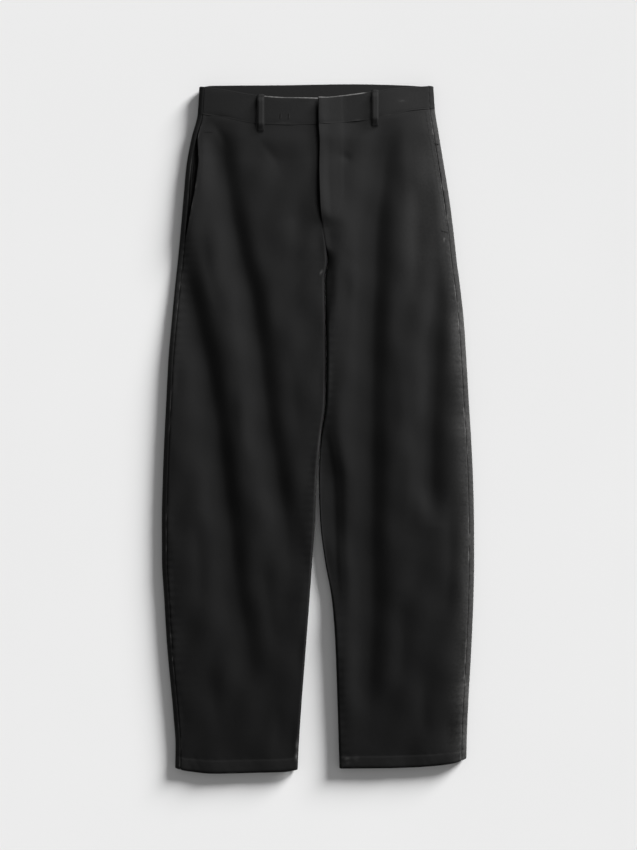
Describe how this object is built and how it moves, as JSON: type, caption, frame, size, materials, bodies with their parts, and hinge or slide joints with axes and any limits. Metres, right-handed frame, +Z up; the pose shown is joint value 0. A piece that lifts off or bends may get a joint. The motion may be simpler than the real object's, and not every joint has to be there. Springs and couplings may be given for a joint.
{
  "type": "wide-leg twill trousers laid flat",
  "caption": "Black twill trousers with wide curved legs, a fly, slanted side pockets and belt loops, lying flat on their back.",
  "frame": {"origin": "middle of the garment's outline, on the surface it lies on", "axes": "+Y from the hems to the waist, +Z up out of the front, -X to the wearer's right leg"},
  "size_m": [0.478, 1.0539, 0.0275],
  "materials": {
    "leg_twill": "matt black cotton twill, slightly washed",
    "band_twill": "matt black cotton twill, pressed, slightly paler at its edges"
  },
  "bodies": {
    "root": {"front_panel_right": "leg_twill", "front_panel_left": "leg_twill", "back_panel_right": "leg_twill", "back_panel_left": "leg_twill", "pocket_facing_right": "leg_twill", "pocket_facing_left": "leg_twill", "waistband_front_right": "band_twill", "waistband_front_left": "band_twill", "waistband_back": "band_twill", "belt_loop_front_right": "band_twill", "belt_loop_front_left": "band_twill", "belt_loop_back_right": "band_twill", "belt_loop_back_centre": "band_twill", "belt_loop_back_left": "band_twill"}
  },
  "joints": []
}
